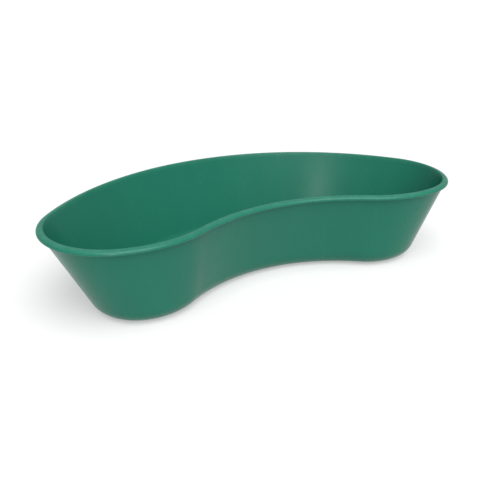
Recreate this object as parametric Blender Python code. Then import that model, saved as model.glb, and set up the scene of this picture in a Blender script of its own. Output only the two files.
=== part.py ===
"""Kidney dish: an open basin moulded in one piece of green polypropylene.

Metres, +Z up. X runs along the dish, the hollow waist of the kidney faces -Y, and the dish stands on Z = 0
with the middle of its rim's length and width over the origin.

The shape is one loft. Two kidney outlines, one for the rim and one for the base, are each made of tangent
arcs. Rings between and inside them give the foot, the outer wall, the rim and the inner wall in turn.
"""

from collections import namedtuple
from math import atan2, cos, pi, radians, sin

import bmesh
import bpy
import numpy as np

NAME = "kidney_dish"

# lobe_angle is where the tip arc hands over to the lobe arc, measured from +X towards -Y.
# shift_y moves the middle of an outline's width off the middle of the rim's width.
Kidney = namedtuple("Kidney", "length width waist_depth tip_radius lobe_radius lobe_angle shift_y")

# Driving dimensions.
RIM = Kidney(0.250, 0.1229, 0.0215, 0.0395, 0.0611, radians(76), 0.0)
BASE = Kidney(0.2014, 0.0903, 0.0240, 0.0263, 0.0317, radians(72), -0.0060)
HEIGHT = 0.0483
RIM_OVERHANG = 0.0020
RIM_THICKNESS = 0.0024
RIM_CROWN = (0.0027, 0.0018)
RIM_UNDER_ROUND = RIM_THICKNESS - RIM_CROWN[1]
WALL = 0.0015
FLOOR = 0.0020
BASE_FILLET = 0.0110
INNER_FILLET = BASE_FILLET - WALL
RIM_ROOT_FILLET = 0.0005
RIM_INNER_ROUND = 0.0006
FOOT_INSET = 0.0130
RECESS = 0.0005

# Mesh steps: the arcs of half an outline (back, tip behind its furthest point, tip ahead of it, lobe, waist),
# then the rounded corners and the flat walls.
ARC_STEPS = (12, 7, 7, 9, 8)
FILLET_STEPS = 7
SMALL_ROUND_STEPS = 3
RIM_CROWN_STEPS = 6
RIM_UNDER_STEPS = 2
WALL_STEPS = 3

SMOOTH_ANGLE = radians(35)
GREEN = (0.022, 0.190, 0.116, 1.0)
ROUGHNESS = 0.38


def clear_scene():
    for old in list(bpy.data.objects):
        bpy.data.objects.remove(old, do_unlink=True)


def arc(centre, radius, start, end, steps):
    """Points on an arc and the directions from its centre to them."""
    angles = np.linspace(start, end, steps + 1)
    spokes = np.column_stack((np.cos(angles), np.sin(angles)))
    return centre + radius * spokes, spokes


def touching_radius(across, below, radius):
    """The radius of an arc whose top is on the Y axis and which touches a circle.

    The circle has its own radius and its centre lies across from the axis and below the arc's top.
    """
    return (across**2 + below**2 - radius**2) / (2 * (below - radius))


def kidney(shape):
    """The closed outline of a kidney and its outward normals.

    The half at +X is a back arc, a tip arc, a lobe arc and a hollow waist arc, each tangent to the next.
    """
    back_y = shape.width / 2
    waist_y = shape.waist_depth - shape.width / 2
    step_in = shape.lobe_radius - shape.tip_radius
    lobe_y = shape.lobe_radius - shape.width / 2
    tip = np.array((shape.length / 2 - shape.tip_radius, lobe_y - step_in * sin(shape.lobe_angle)))
    lobe = np.array((tip[0] - step_in * cos(shape.lobe_angle), lobe_y))

    # The back arc holds the tip arc inside it; the waist arc touches the lobe arc from outside.
    back_radius = touching_radius(tip[0], back_y - tip[1], shape.tip_radius)
    waist_radius = -touching_radius(lobe[0], lobe_y - waist_y, shape.lobe_radius)
    back = np.array((0.0, back_y - back_radius))
    waist = np.array((0.0, waist_y - waist_radius))

    to_tip = atan2(*(tip - back)[::-1])
    to_lobe = atan2(*(lobe - waist)[::-1])
    stretches = (
        arc(back, back_radius, pi / 2, to_tip, ARC_STEPS[0]),
        arc(tip, shape.tip_radius, to_tip, 0.0, ARC_STEPS[1]),
        arc(tip, shape.tip_radius, 0.0, -shape.lobe_angle, ARC_STEPS[2]),
        arc(lobe, shape.lobe_radius, -shape.lobe_angle, to_lobe - pi, ARC_STEPS[3]),
        arc(waist, waist_radius, to_lobe, pi / 2, ARC_STEPS[4]),
    )
    outward = (1, 1, 1, 1, -1)
    turned = [spokes[1:] * way for (_, spokes), way in zip(stretches, outward)]
    points = np.vstack([stretches[0][0][:1]] + [spots[1:] for spots, _ in stretches])
    normals = np.vstack([stretches[0][1][:1]] + turned)
    other_half = np.array((-1.0, 1.0))
    points = np.vstack((points, points[-2:0:-1] * other_half))
    normals = np.vstack((normals, normals[-2:0:-1] * other_half))
    points[:, 1] += shape.shift_y
    return points, normals


def lift(flat, z):
    """A flat outline as a ring at height z."""
    return np.column_stack((flat, np.full(len(flat), z)))


def unit(vectors):
    return vectors / np.linalg.norm(vectors, axis=1, keepdims=True)


def fillet(corner, toward_a, toward_b, radius, steps):
    """Rings that round each corner point with an arc, from its edge towards a to its edge towards b."""
    half_angle = np.arccos(np.sum(toward_a * toward_b, axis=1, keepdims=True)) / 2
    centre = corner + unit(toward_a + toward_b) * radius / np.sin(half_angle)
    start = corner + toward_a * radius / np.tan(half_angle) - centre
    end = corner + toward_b * radius / np.tan(half_angle) - centre
    sweep = pi - 2 * half_angle
    return [
        centre + (np.sin((1 - t) * sweep) * start + np.sin(t * sweep) * end) / np.sin(sweep)
        for t in np.linspace(0, 1, steps + 1)
    ]


def between(start, end, steps):
    """The rings that divide a straight wall, without its two ends."""
    return [start + (end - start) * t for t in np.linspace(0, 1, steps + 1)[1:-1]]


def dish_rings():
    """The dish's rings in order: recess, foot, outer wall, rim, inner wall and floor."""
    rim, rim_normals = kidney(RIM)
    base, base_normals = kidney(BASE)
    rim_out = lift(rim_normals, 0.0)
    base_out = lift(base_normals, 0.0)

    # Outer wall: a straight draft from the base outline to the root of the rim.
    base_corner = lift(base, 0.0)
    rim_root = lift(rim - rim_normals * RIM_OVERHANG, HEIGHT - RIM_THICKNESS)
    outer_up = unit(rim_root - base_corner)
    recess_edge = lift(base - base_normals * (FOOT_INSET + RECESS), RECESS)
    foot_edge = lift(base - base_normals * FOOT_INSET, 0.0)
    bottom_round = fillet(base_corner, -base_out, outer_up, BASE_FILLET, FILLET_STEPS)
    root_round = fillet(rim_root, -outer_up, rim_out, RIM_ROOT_FILLET, SMALL_ROUND_STEPS)
    outer_wall = between(bottom_round[-1], root_round[0], WALL_STEPS)

    # Rim: a crowned top that falls away to a thin outer edge, a tight round under that edge, and a small round
    # into the dish.
    def rim_ring(inset, depth):
        return lift(rim - rim_normals * inset, HEIGHT - depth)

    under = [
        rim_ring(RIM_UNDER_ROUND * (1 - cos(a)), RIM_THICKNESS - RIM_UNDER_ROUND * (1 - sin(a)))
        for a in np.linspace(pi / 2, 0, RIM_UNDER_STEPS + 1)
    ]
    crown_width, crown_drop = RIM_CROWN
    crown = [
        rim_ring(crown_width * (1 - cos(a)), crown_drop * (1 - sin(a)))
        for a in np.linspace(0, pi / 2, RIM_CROWN_STEPS + 1)[1:]
    ]
    inner_lip = rim_ring(RIM_OVERHANG + WALL, 0.0)

    # Inner wall: from the lip down to the floor, one wall thickness inside the outer wall.
    floor_share = FLOOR / (HEIGHT - RIM_THICKNESS)
    floor_corner = base_corner + (rim_root - base_corner) * floor_share - base_out * WALL
    inner_up = unit(inner_lip - floor_corner)
    lip_round = fillet(inner_lip, rim_out, -inner_up, RIM_INNER_ROUND, SMALL_ROUND_STEPS)
    floor_round = fillet(floor_corner, inner_up, -base_out, INNER_FILLET, FILLET_STEPS)
    inner_wall = between(lip_round[-1], floor_round[0], WALL_STEPS)

    outside = [recess_edge, foot_edge] + bottom_round + outer_wall + root_round + under + crown
    return outside + lip_round + inner_wall + floor_round


def loft(name, rings):
    """A closed mesh through the rings, with a flat cap on the first and the last."""
    shape = bmesh.new()
    loops = [[shape.verts.new(point) for point in ring] for ring in rings]
    for lower, upper in zip(loops, loops[1:]):
        for i, _ in enumerate(lower):
            shape.faces.new((lower[i - 1], lower[i], upper[i], upper[i - 1]))
    shape.faces.new(loops[0])
    shape.faces.new(loops[-1])
    bmesh.ops.recalc_face_normals(shape, faces=shape.faces)
    mesh = bpy.data.meshes.new(name)
    shape.to_mesh(mesh)
    shape.free()
    mesh.shade_smooth()
    mesh.set_sharp_from_angle(angle=SMOOTH_ANGLE)
    return mesh


def polypropylene():
    material = bpy.data.materials.new("green_polypropylene")
    material.use_nodes = True
    shader = material.node_tree.nodes["Principled BSDF"]
    shader.inputs["Base Color"].default_value = GREEN
    shader.inputs["Roughness"].default_value = ROUGHNESS
    shader.inputs["Metallic"].default_value = 0.0
    return material


def main():
    clear_scene()
    parts = bpy.data.collections.new(NAME)
    bpy.context.scene.collection.children.link(parts)
    mesh = loft("dish", dish_rings())
    mesh.materials.append(polypropylene())
    parts.objects.link(bpy.data.objects.new("dish", mesh))


main()
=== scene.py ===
"""The looks of a one-piece kidney dish: its fine surface, its green polypropylene and a plain studio.

Metres, in the row frame: X runs along the dish, the hollow waist faces -Y and the dish stands on Z = 0.
"""

from collections import namedtuple
from math import atan2, cos, pi, radians, sin

import bpy
import numpy as np
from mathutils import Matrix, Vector, noise


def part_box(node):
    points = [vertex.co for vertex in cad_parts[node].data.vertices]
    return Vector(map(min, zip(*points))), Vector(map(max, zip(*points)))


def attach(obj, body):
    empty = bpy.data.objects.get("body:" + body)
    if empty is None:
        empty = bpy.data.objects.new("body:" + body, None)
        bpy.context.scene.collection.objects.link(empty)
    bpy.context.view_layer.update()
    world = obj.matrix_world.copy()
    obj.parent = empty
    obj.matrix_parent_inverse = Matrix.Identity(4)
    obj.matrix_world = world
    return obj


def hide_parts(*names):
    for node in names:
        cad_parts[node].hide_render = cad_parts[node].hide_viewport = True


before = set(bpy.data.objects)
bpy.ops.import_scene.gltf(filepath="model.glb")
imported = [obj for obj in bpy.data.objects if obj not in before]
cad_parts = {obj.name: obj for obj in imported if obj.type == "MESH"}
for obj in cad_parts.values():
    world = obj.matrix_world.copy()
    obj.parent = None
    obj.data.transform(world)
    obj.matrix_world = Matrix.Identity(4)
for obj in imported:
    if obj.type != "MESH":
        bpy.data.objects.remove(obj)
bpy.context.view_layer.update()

LOW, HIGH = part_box("dish")
LENGTH = HIGH.x - LOW.x
WIDTH = HIGH.y - LOW.y
HEIGHT = HIGH.z - LOW.z
CENTRE = (LOW + HIGH) / 2

# How much shorter and narrower the base is than the rim, and how far forward its middle lies.
BASE_SHORTER = 0.0486
BASE_NARROWER = 0.0326
BASE_FORWARD = 0.0060

# The kidney outlines. lobe_angle is where the tip arc hands over to the lobe arc, from +X towards -Y.
Kidney = namedtuple("Kidney", "length width waist_depth tip_radius lobe_radius lobe_angle shift_y")
RIM = Kidney(
    length=LENGTH,
    width=WIDTH,
    waist_depth=0.0215,
    tip_radius=0.0395,
    lobe_radius=0.0611,
    lobe_angle=radians(76),
    shift_y=CENTRE.y,
)
BASE = Kidney(
    length=LENGTH - BASE_SHORTER,
    width=WIDTH - BASE_NARROWER,
    waist_depth=0.0240,
    tip_radius=0.0263,
    lobe_radius=0.0317,
    lobe_angle=radians(72),
    shift_y=CENTRE.y - BASE_FORWARD,
)

# The moulding's section. The crown is a quarter ellipse: how far in it reaches, and how far it drops.
RIM_OVERHANG = 0.0020
RIM_THICKNESS = 0.0024
RIM_CROWN = (0.0027, 0.0018)
RIM_UNDER_ROUND = RIM_THICKNESS - RIM_CROWN[1]
WALL = 0.0015
FLOOR = 0.0020
BASE_FILLET = 0.0110
INNER_FILLET = BASE_FILLET - WALL
RIM_ROOT_FILLET = 0.0005
RIM_INNER_ROUND = 0.0006
FOOT_INSET = 0.0130
RECESS = 0.0005
RECESS_ROUND = 0.00025

# The arc down the middle of the floor: the floor's rings shrink to it, all but the last small share.
SPINE_HALF_LENGTH = 0.070
SPINE_SAG = 0.027
SPINE_TOP_Y = 0.0055
SPINE_SHARE = 0.985

# How far the wall waves, how long the waves are, and the heights between which the waving sets in.
WALL_WARP = 0.00013
WARP_LENGTH = 0.045
WARP_FROM = 0.004
WARP_FULL = 0.024

# Mesh steps: the arcs of half an outline (back, tip behind its furthest point, tip ahead of it, lobe,
# waist), then the rounds and the flat stretches.
ARC_STEPS = (48, 32, 32, 36, 36)
FILLET_STEPS = 20
SMALL_ROUND_STEPS = 6
RECESS_ROUND_STEPS = 3
RIM_CROWN_STEPS = 18
RIM_UNDER_STEPS = 6
WALL_STEPS = 20
FOOT_STEPS = 3
FLOOR_STEPS = 14
SMOOTH_ANGLE = radians(40)

# How worn each part of the surface is: 0 for untouched, 1 for the parts that rub most. On the rim's crown
# the same values also paint a highlight, paler towards the top where the rim catches the light.
WEAR_RECESS_EDGE = 0.6
WEAR_FOOT = 0.8
WEAR_HEEL = 1.0
WEAR_ABOVE_HEEL = 0.35
WEAR_RIM_EDGE = 0.2
# The rim's top is both worn and painted with a highlight, the paler band of a lit crown.
RIM_TOP_WEAR_AND_HIGHLIGHT = 1.0
WEAR_LIP = 0.5
HEEL_RINGS = 3
ABOVE_HEEL_RINGS = 5

# The plastic's colours. Flow streaks run up the walls, and pigment mottling lies over them.
GREEN = (0.0098, 0.129, 0.083, 1.0)
GREEN_STREAK = (0.0112, 0.136, 0.088, 1.0)
GREEN_MOTTLE = (0.0100, 0.122, 0.081, 1.0)
# The paler green of worn parts, also used for the painted highlight along the rim's top.
GREEN_WORN_AND_LIT = (0.100, 0.300, 0.220, 1.0)
STREAK_SCALE = 70.0
STREAK_STRETCH = (1.0, 1.0, 0.12)
MOTTLE_SCALE = 420.0
MOTTLE_SHARE = 0.35
PATTERN_FROM = 0.3
PATTERN_FULL = 0.7

# Wear makes the plastic paler, and in broken patches paler still and rougher. On the rim's crown this
# paling is partly a painted highlight.
RUB_SCALE = 160.0
RUB_FROM = 0.45
RUB_FULL = 0.72
# How much paler worn parts get; on the rim's top this also sets the strength of the painted highlight.
PALER_WHERE_WORN_AND_LIT = 0.16
PALER_WHERE_RUBBED = 0.15
ROUGHER_WHERE_RUBBED = 0.12

# How the plastic takes light, and its fine moulded surface: a tiny grain on a slightly larger peel.
SMOOTHEST = 0.245
ROUGHEST = 0.28
IOR = 1.49
SPECULAR_LEVEL = 0.18
SUBSURFACE_WEIGHT = 0.06
SUBSURFACE_RADIUS = (0.3, 1.0, 0.7)
SUBSURFACE_SCALE = 0.0015
GRAIN_SCALE = 2600.0
GRAIN_SHARE = 0.25
PEEL_SCALE = 330.0
BUMP_STRENGTH = 0.3
BUMP_DISTANCE = 0.00003

# The studio: a floor and a dome of dull card that glows, under an even pale sky.
WHITE = (1.0, 1.0, 1.0, 1.0)
CARD_ROUGHNESS = 0.9
CARD_SPECULAR_LEVEL = 0.1
FLOOR_SIZE = 40.0
FLOOR_GREY = 0.45
FLOOR_GLOW = 0.38
BACKDROP_RADIUS = 8.0
BACKDROP_GREY = 0.0
BACKDROP_GLOW = 1.0
SKY_STRENGTH = 0.38

# The camera turns round a point near the dish's foot, given from the dish's centre. Azimuth 0 is in
# front of the waist, at -Y. The lens and the sensor are in millimetres.
SENSOR_WIDTH = 36.0
CAMERA_AIM = (-0.00188, 0.00539, -0.01539)
CAMERA_AZIMUTH = -26.771
CAMERA_ELEVATION = 24.353
CAMERA_DISTANCE = 0.36039
CAMERA_LENS = 42.551


def arc(centre, radius, start, end, steps):
    """Points on an arc and the directions from its centre to them."""
    angles = np.linspace(start, end, steps + 1)
    spokes = np.column_stack((np.cos(angles), np.sin(angles)))
    return centre + radius * spokes, spokes


def touching_radius(across, below, radius):
    """The radius of an arc whose top is on the Y axis and which touches a circle.

    The circle has its own radius and its centre lies across from the axis and below the arc's top.
    """
    return (across**2 + below**2 - radius**2) / (2 * (below - radius))


def kidney(shape):
    """The closed outline of a kidney and its outward normals.

    The half at +X is a back arc, a tip arc, a lobe arc and a hollow waist arc, each tangent to the next.
    """
    back_y = shape.width / 2
    waist_y = shape.waist_depth - shape.width / 2
    step_in = shape.lobe_radius - shape.tip_radius
    lobe_y = shape.lobe_radius - shape.width / 2
    tip = np.array((shape.length / 2 - shape.tip_radius, lobe_y - step_in * sin(shape.lobe_angle)))
    lobe = np.array((tip[0] - step_in * cos(shape.lobe_angle), lobe_y))

    # The back arc holds the tip arc inside it; the waist arc touches the lobe arc from outside.
    back_radius = touching_radius(tip[0], back_y - tip[1], shape.tip_radius)
    waist_radius = -touching_radius(lobe[0], lobe_y - waist_y, shape.lobe_radius)
    back = np.array((0.0, back_y - back_radius))
    waist = np.array((0.0, waist_y - waist_radius))

    to_tip = atan2(*(tip - back)[::-1])
    to_lobe = atan2(*(lobe - waist)[::-1])
    stretches = (
        arc(back, back_radius, pi / 2, to_tip, ARC_STEPS[0]),
        arc(tip, shape.tip_radius, to_tip, 0.0, ARC_STEPS[1]),
        arc(tip, shape.tip_radius, 0.0, -shape.lobe_angle, ARC_STEPS[2]),
        arc(lobe, shape.lobe_radius, -shape.lobe_angle, to_lobe - pi, ARC_STEPS[3]),
        arc(waist, waist_radius, to_lobe, pi / 2, ARC_STEPS[4]),
    )
    outward = (1, 1, 1, 1, -1)
    turned = [spokes[1:] * way for (_, spokes), way in zip(stretches, outward)]
    points = np.vstack([stretches[0][0][:1]] + [spots[1:] for spots, _ in stretches])
    normals = np.vstack([stretches[0][1][:1]] + turned)
    other_half = np.array((-1.0, 1.0))
    points = np.vstack((points, points[-2:0:-1] * other_half))
    normals = np.vstack((normals, normals[-2:0:-1] * other_half))
    points[:, 1] += shape.shift_y
    return points, normals


def lift(flat, z):
    """A flat outline as a ring at height z."""
    return np.column_stack((flat, np.full(len(flat), z)))


def unit(vectors):
    return vectors / np.linalg.norm(vectors, axis=1, keepdims=True)


def fillet(corner, toward_a, toward_b, radius, steps):
    """Rings that round each corner point with an arc, from its edge towards a to its edge towards b."""
    half_angle = np.arccos(np.sum(toward_a * toward_b, axis=1, keepdims=True)) / 2
    centre = corner + unit(toward_a + toward_b) * radius / np.sin(half_angle)
    start = corner + toward_a * radius / np.tan(half_angle) - centre
    end = corner + toward_b * radius / np.tan(half_angle) - centre
    sweep = pi - 2 * half_angle
    return [
        centre + (np.sin((1 - t) * sweep) * start + np.sin(t * sweep) * end) / np.sin(sweep)
        for t in np.linspace(0, 1, steps + 1)
    ]


def between(start, end, steps):
    """The rings that divide a straight stretch, without its two ends."""
    return [start + (end - start) * t for t in np.linspace(0, 1, steps + 1)[1:-1]]


def spine_points(ring):
    """The nearest point to each ring point on the arc that runs down the middle of the floor."""
    radius = (SPINE_HALF_LENGTH**2 + SPINE_SAG**2) / (2 * SPINE_SAG)
    centre_y = SPINE_TOP_Y + CENTRE.y - radius
    reach = np.arcsin(SPINE_HALF_LENGTH / radius)
    angle = np.clip(np.arctan2(ring[:, 0], ring[:, 1] - centre_y), -reach, reach)
    return np.column_stack((radius * np.sin(angle), centre_y + radius * np.cos(angle), ring[:, 2]))


def floor_rings(edge):
    """Rings that shrink from a floor's edge nearly to the spine along its middle."""
    spine = spine_points(edge)
    return [edge + (spine - edge) * t for t in np.linspace(0, SPINE_SHARE, FLOOR_STEPS + 1)[1:]]


def warp(points, normals, amount):
    """A slow wave along the normals, as a thin moulding takes when it cools."""
    scale = 1 / WARP_LENGTH
    waves = np.array([noise.noise(Vector(point) * scale) for point in points])
    return points + normals * (waves * amount)[:, None]


def dish_rings():
    """The (ring, wear and painted highlight) pairs from the middle of the underside round to the middle of
    the floor inside.

    The outward normals of the rim's outline come with them.
    """
    rim, rim_normals = kidney(RIM)
    base, base_normals = kidney(BASE)
    rim_out = lift(rim_normals, 0.0)
    base_out = lift(base_normals, 0.0)
    rings = []

    def add(new_rings, wear_and_highlight=0.0):
        rings.extend((ring, wear_and_highlight) for ring in new_rings)

    # Underside: the recessed middle, a rounded step down, and the flat foot around it.
    recess_edge = lift(base - base_normals * (FOOT_INSET + RECESS), RECESS)
    foot_edge = lift(base - base_normals * FOOT_INSET, 0.0)
    step_down = unit(foot_edge - recess_edge)
    add(reversed(floor_rings(recess_edge - base_out * RECESS_ROUND)))
    add(fillet(recess_edge, -base_out, step_down, RECESS_ROUND, RECESS_ROUND_STEPS))
    add(fillet(foot_edge, -step_down, base_out, RECESS_ROUND, RECESS_ROUND_STEPS), WEAR_RECESS_EDGE)

    # Outer wall: a straight draft from the base outline to the root of the rim.
    base_corner = lift(base, 0.0)
    rim_root = lift(rim - rim_normals * RIM_OVERHANG, HEIGHT - RIM_THICKNESS)
    outer_up = unit(rim_root - base_corner)
    bottom_round = fillet(base_corner, -base_out, outer_up, BASE_FILLET, FILLET_STEPS)
    add(between(foot_edge + base_out * RECESS_ROUND, bottom_round[0], FOOT_STEPS), WEAR_FOOT)
    add(bottom_round[:HEEL_RINGS], WEAR_HEEL)
    add(bottom_round[HEEL_RINGS : HEEL_RINGS + ABOVE_HEEL_RINGS], WEAR_ABOVE_HEEL)
    add(bottom_round[HEEL_RINGS + ABOVE_HEEL_RINGS :])
    root_round = fillet(rim_root, -outer_up, rim_out, RIM_ROOT_FILLET, SMALL_ROUND_STEPS)
    add(between(bottom_round[-1], root_round[0], WALL_STEPS))
    add(root_round)

    # Rim: a tight round under a thin outer edge, a crowned top that rises from that edge, and a small round
    # into the dish.
    def rim_ring(inset, depth):
        return lift(rim - rim_normals * inset, HEIGHT - depth)

    for a in np.linspace(pi / 2, 0, RIM_UNDER_STEPS + 1):
        depth = RIM_THICKNESS - RIM_UNDER_ROUND * (1 - sin(a))
        add([rim_ring(RIM_UNDER_ROUND * (1 - cos(a)), depth)], WEAR_RIM_EDGE)
    crown_width, crown_drop = RIM_CROWN
    # The crown gets paler towards its top: wear, and a painted highlight where the rim's top catches the
    # light.
    for a in np.linspace(0, pi / 2, RIM_CROWN_STEPS + 1)[1:]:
        wear_and_highlight = WEAR_RIM_EDGE + (RIM_TOP_WEAR_AND_HIGHLIGHT - WEAR_RIM_EDGE) * sin(a) ** 2
        add([rim_ring(crown_width * (1 - cos(a)), crown_drop * (1 - sin(a)))], wear_and_highlight)
    inner_lip = rim_ring(RIM_OVERHANG + WALL, 0.0)
    floor_share = FLOOR / (HEIGHT - RIM_THICKNESS)
    floor_corner = base_corner + (rim_root - base_corner) * floor_share - base_out * WALL
    inner_up = unit(inner_lip - floor_corner)
    lip_round = fillet(inner_lip, rim_out, -inner_up, RIM_INNER_ROUND, SMALL_ROUND_STEPS)
    add(lip_round, WEAR_LIP)

    # Inner wall: from the lip down to the floor, one wall thickness inside the outer wall.
    floor_round = fillet(floor_corner, inner_up, -base_out, INNER_FILLET, FILLET_STEPS)
    add(between(lip_round[-1], floor_round[0], WALL_STEPS))
    add(floor_round)
    add(floor_rings(floor_round[-1]))
    return rings, rim_normals


def dish_mesh():
    """The closed fine mesh of the dish. A point attribute holds how worn each point is, and on the rim's
    crown also a painted highlight.
    """
    rings, rim_normals = dish_rings()
    outward = lift(rim_normals, 0.0)
    points = []
    wear_and_highlight_values = []
    for ring, wear_and_highlight in rings:
        height_share = np.clip((ring[:, 2] - WARP_FROM) / (WARP_FULL - WARP_FROM), 0, 1)
        points.append(warp(ring, outward * height_share[:, None], WALL_WARP))
        wear_and_highlight_values.append(np.full(len(ring), wear_and_highlight, dtype=np.float32))
    around = len(rim_normals)
    faces = []
    for j in range(len(points) - 1):
        for i in range(around):
            k = (i + 1) % around
            faces.append((j * around + k, j * around + i, (j + 1) * around + i, (j + 1) * around + k))
    last = (len(points) - 1) * around
    faces.append(tuple(range(around)))
    faces.append(tuple(last + i for i in reversed(range(around))))
    mesh = bpy.data.meshes.new("dish_moulding")
    mesh.from_pydata(np.vstack(points).tolist(), [], faces)
    mesh.attributes.new("wear_and_highlight", "FLOAT", "POINT").data.foreach_set("value", np.concatenate(wear_and_highlight_values))
    mesh.validate()
    mesh.shade_smooth()
    mesh.set_sharp_from_angle(angle=SMOOTH_ANGLE)
    return mesh


class Nodes:
    """A small helper that makes and links shader nodes."""

    def __init__(self, tree):
        self.tree = tree

    def add(self, kind, inputs=None, **settings):
        node = self.tree.nodes.new(kind)
        for name, value in settings.items():
            setattr(node, name, value)
        for name, value in (inputs or {}).items():
            if isinstance(value, bpy.types.NodeSocket):
                self.tree.links.new(value, node.inputs[name])
            else:
                node.inputs[name].default_value = value
        return node

    def noise(self, place, scale, detail, roughness):
        inputs = {"Vector": place, "Scale": scale, "Detail": detail, "Roughness": roughness}
        return self.add("ShaderNodeTexNoise", inputs).outputs["Fac"]

    def remap(self, value, low, high, to_low, to_high):
        inputs = {"Value": value, "From Min": low, "From Max": high, "To Min": to_low, "To Max": to_high}
        return self.add("ShaderNodeMapRange", inputs).outputs["Result"]

    def math(self, operation, a, b):
        return self.add("ShaderNodeMath", {0: a, 1: b}, operation=operation).outputs[0]

    def mix(self, factor, a, b):
        node = self.add("ShaderNodeMix", data_type="RGBA")
        for name, value in (("Factor", factor), ("A", a), ("B", b)):
            socket = next(s for s in node.inputs if s.name == name and s.enabled)
            if isinstance(value, bpy.types.NodeSocket):
                self.tree.links.new(value, socket)
            else:
                socket.default_value = value
        return next(s for s in node.outputs if s.enabled)

    def stretched(self, place, scale):
        return self.add("ShaderNodeMapping", {"Vector": place, "Scale": scale}).outputs["Vector"]


def polypropylene():
    """Satin green polypropylene with flow streaks, pigment mottling, a fine grain, rubbed edges and a
    painted highlight along the rim's top.
    """
    material = bpy.data.materials.new("green_polypropylene")
    material.use_nodes = True
    nodes = Nodes(material.node_tree)
    shader = material.node_tree.nodes["Principled BSDF"]
    place = nodes.add("ShaderNodeTexCoord").outputs["Object"]

    streaks = nodes.noise(nodes.stretched(place, STREAK_STRETCH), STREAK_SCALE, detail=3.0, roughness=0.55)
    mottle = nodes.noise(place, MOTTLE_SCALE, detail=3.0, roughness=0.6)
    streaked = nodes.remap(streaks, PATTERN_FROM, PATTERN_FULL, 0.0, 1.0)
    mottled = nodes.remap(mottle, PATTERN_FROM, PATTERN_FULL, 0.0, MOTTLE_SHARE)
    colour = nodes.mix(streaked, GREEN, GREEN_STREAK)
    colour = nodes.mix(mottled, colour, GREEN_MOTTLE)

    # Wear pales the plastic; on the rim's crown the same paling is a painted highlight.
    worn_and_lit = nodes.add("ShaderNodeAttribute", attribute_name="wear_and_highlight").outputs["Fac"]
    patches = nodes.noise(place, RUB_SCALE, detail=5.0, roughness=0.7)
    rubbed = nodes.math("MULTIPLY", worn_and_lit, nodes.remap(patches, RUB_FROM, RUB_FULL, 0.0, 1.0))
    paler_worn_and_lit = nodes.math("MULTIPLY", worn_and_lit, PALER_WHERE_WORN_AND_LIT)
    paler_rubbed = nodes.math("MULTIPLY", rubbed, PALER_WHERE_RUBBED)
    colour = nodes.mix(nodes.math("ADD", paler_worn_and_lit, paler_rubbed), colour, GREEN_WORN_AND_LIT)
    nodes.tree.links.new(colour, shader.inputs["Base Color"])

    rough = nodes.remap(streaks, PATTERN_FROM, PATTERN_FULL, SMOOTHEST, ROUGHEST)
    rough = nodes.math("ADD", rough, nodes.math("MULTIPLY", rubbed, ROUGHER_WHERE_RUBBED))
    nodes.tree.links.new(rough, shader.inputs["Roughness"])
    shader.inputs["IOR"].default_value = IOR
    shader.inputs["Specular IOR Level"].default_value = SPECULAR_LEVEL
    shader.inputs["Subsurface Weight"].default_value = SUBSURFACE_WEIGHT
    shader.inputs["Subsurface Radius"].default_value = SUBSURFACE_RADIUS
    shader.inputs["Subsurface Scale"].default_value = SUBSURFACE_SCALE

    grain = nodes.noise(place, GRAIN_SCALE, detail=2.0, roughness=0.5)
    peel = nodes.noise(place, PEEL_SCALE, detail=1.0, roughness=0.4)
    height = nodes.math("ADD", nodes.math("MULTIPLY", grain, GRAIN_SHARE), peel)
    relief = {"Strength": BUMP_STRENGTH, "Distance": BUMP_DISTANCE, "Height": height}
    bump = nodes.add("ShaderNodeBump", relief)
    nodes.tree.links.new(bump.outputs["Normal"], shader.inputs["Normal"])
    return material


def build_dish():
    dish = bpy.data.objects.new("dish_moulding", dish_mesh())
    bpy.context.scene.collection.objects.link(dish)
    dish.data.materials.append(polypropylene())
    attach(dish, "root")
    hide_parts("dish")


def glowing_card(name, grey, glow):
    """A dull grey material that also glows white."""
    material = bpy.data.materials.new(name)
    material.use_nodes = True
    shader = material.node_tree.nodes["Principled BSDF"]
    shader.inputs["Base Color"].default_value = (grey, grey, grey, 1.0)
    shader.inputs["Roughness"].default_value = CARD_ROUGHNESS
    shader.inputs["Specular IOR Level"].default_value = CARD_SPECULAR_LEVEL
    shader.inputs["Emission Color"].default_value = WHITE
    shader.inputs["Emission Strength"].default_value = glow
    return material


def build_floor():
    """A wide, plain, pale floor that glows like a light table, so that shadows on it stay faint."""
    bpy.ops.mesh.primitive_plane_add(size=FLOOR_SIZE, location=(0.0, 0.0, LOW.z))
    floor = bpy.context.object
    floor.name = "studio_floor"
    floor.data.materials.append(glowing_card("studio_floor", FLOOR_GREY, FLOOR_GLOW))


def build_backdrop():
    """A white dome that only the camera sees. It lights nothing and keeps the ground plain in low views."""
    bpy.ops.mesh.primitive_uv_sphere_add(radius=BACKDROP_RADIUS, location=(0.0, 0.0, LOW.z))
    dome = bpy.context.object
    dome.name = "studio_backdrop"
    dome.data.materials.append(glowing_card("studio_backdrop", BACKDROP_GREY, BACKDROP_GLOW))
    dome.visible_diffuse = False
    dome.visible_glossy = False
    dome.visible_transmission = False
    dome.visible_volume_scatter = False
    dome.visible_shadow = False


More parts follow.
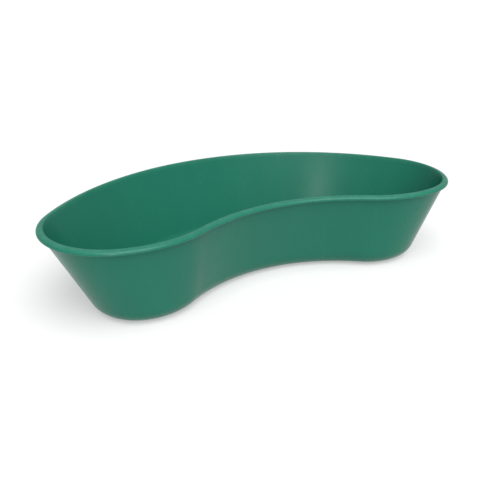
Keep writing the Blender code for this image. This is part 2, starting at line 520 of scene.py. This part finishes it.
def aimed(obj, place, target):
    """Puts a camera or a light at a place, turned towards a target."""
    obj.location = place
    obj.rotation_mode = "QUATERNION"
    obj.rotation_quaternion = (Vector(target) - Vector(place)).to_track_quat("-Z", "Y")
    bpy.context.scene.collection.objects.link(obj)


def direction(azimuth, elevation):
    """The unit vector towards a place round the dish: azimuth 0 is in front of the waist, at -Y."""
    a = radians(azimuth)
    e = radians(elevation)
    return Vector((sin(a) * cos(e), -cos(a) * cos(e), sin(e)))


def softbox(name, azimuth, elevation, distance, width, height, power):
    """A rectangular soft light that faces the dish."""
    lamp = bpy.data.lights.new(name, "AREA")
    lamp.shape = "RECTANGLE"
    lamp.size = width
    lamp.size_y = height
    lamp.energy = power
    aimed(bpy.data.objects.new(name, lamp), CENTRE + direction(azimuth, elevation) * distance, CENTRE)


def soft_sun(name, azimuth, elevation, spread, strength):
    """A wide, distant light: spread is the angle it covers, in degrees."""
    lamp = bpy.data.lights.new(name, "SUN")
    lamp.angle = radians(spread)
    lamp.energy = strength
    aimed(bpy.data.objects.new(name, lamp), CENTRE + direction(azimuth, elevation), CENTRE)


def build_studio():
    world = bpy.data.worlds.new("studio")
    world.use_nodes = True
    background = world.node_tree.nodes["Background"]
    background.inputs["Color"].default_value = WHITE
    background.inputs["Strength"].default_value = SKY_STRENGTH
    bpy.context.scene.world = world
    bpy.context.scene.view_settings.view_transform = "Standard"
    soft_sun("front", azimuth=-5.0, elevation=62.0, spread=56.0, strength=3.8)
    softbox(
        "front_left", azimuth=-27.5, elevation=20.0, distance=0.9, width=0.04, height=0.40, power=1.6
    )


def build_camera():
    data = bpy.data.cameras.new("camera")
    data.sensor_width = SENSOR_WIDTH
    data.lens = CAMERA_LENS
    camera = bpy.data.objects.new("camera", data)
    aim = CENTRE + Vector(CAMERA_AIM)
    aimed(camera, aim + direction(CAMERA_AZIMUTH, CAMERA_ELEVATION) * CAMERA_DISTANCE, aim)
    bpy.context.scene.camera = camera


build_floor()
build_backdrop()
build_dish()
build_studio()
build_camera()
